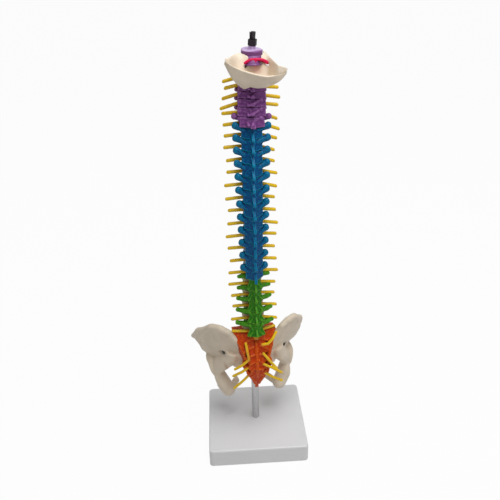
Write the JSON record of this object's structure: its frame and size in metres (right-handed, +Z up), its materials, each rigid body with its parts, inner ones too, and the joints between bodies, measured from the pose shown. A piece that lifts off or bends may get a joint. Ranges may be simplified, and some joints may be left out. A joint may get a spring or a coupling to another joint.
{
  "type": "spine anatomy model",
  "caption": "Coloured teaching model of a human spine with pelvis, nerve stubs, back of the skull and brain stem, held upright by a steel rod on a square base.",
  "frame": {"origin": "middle of the base's underside", "axes": "+Z up, +X towards the model's own right side, +Y towards its front"},
  "size_m": [0.1281, 0.11, 0.4514],
  "materials": {
    "artery": "glossy red paint",
    "base": "white moulded plastic, slight sheen",
    "bone": "bone white with a slight sheen",
    "chest": "semi-gloss blue paint",
    "core": "dark flexible core",
    "dark_steel": "dull galvanised steel",
    "disc": "smooth cream",
    "neck": "semi-gloss purple paint",
    "nerve": "semi-gloss yellow paint",
    "sacrum": "semi-gloss orange-red paint",
    "steel": "bright drawn steel",
    "stem": "lilac paint",
    "waist": "semi-gloss green paint"
  },
  "bodies": {
    "root": {"C1": "neck", "C2": "neck", "C3": "neck", "C4": "neck", "C5": "neck", "C6": "neck", "C7": "neck", "L1": "waist", "L2": "waist", "L3": "waist", "L4": "waist", "L5": "waist", "T1": "chest", "T10": "chest", "T11": "chest", "T12": "chest", "T2": "chest", "T3": "chest", "T4": "chest", "T5": "chest", "T6": "chest", "T7": "chest", "T8": "chest", "T9": "chest", "base": "base", "base_nut": "dark_steel", "brain_stem": "stem", "core_nut": "dark_steel", "disc_C3_C2": "disc", "disc_C4_C3": "disc", "disc_C5_C4": "disc", "disc_C6_C5": "disc", "disc_C7_C6": "disc", "disc_L1_T12": "disc", "disc_L2_L1": "disc", "disc_L3_L2": "disc", "disc_L4_L3": "disc", "disc_L5_L4": "disc", "disc_S1_L5": "disc", "disc_T10_T9": "disc", "disc_T11_T10": "disc", "disc_T12_T11": "disc", "disc_T1_C7": "disc", "disc_T2_T1": "disc", "disc_T3_T2": "disc", "disc_T4_T3": "disc", "disc_T5_T4": "disc", "disc_T6_T5": "disc", "disc_T7_T6": "disc", "disc_T8_T7": "disc", "disc_T9_T8": "disc", "flexible_core": "core", "hip_bone_left": "bone", "hip_bone_right": "bone", "hip_screws": "dark_steel", "occipital_plate": "bone", "sacrum_and_coccyx": "sacrum", "spinal_cord_and_nerves": "nerve", "support_rod": "steel", "vertebral_artery": "artery"}
  },
  "joints": []
}
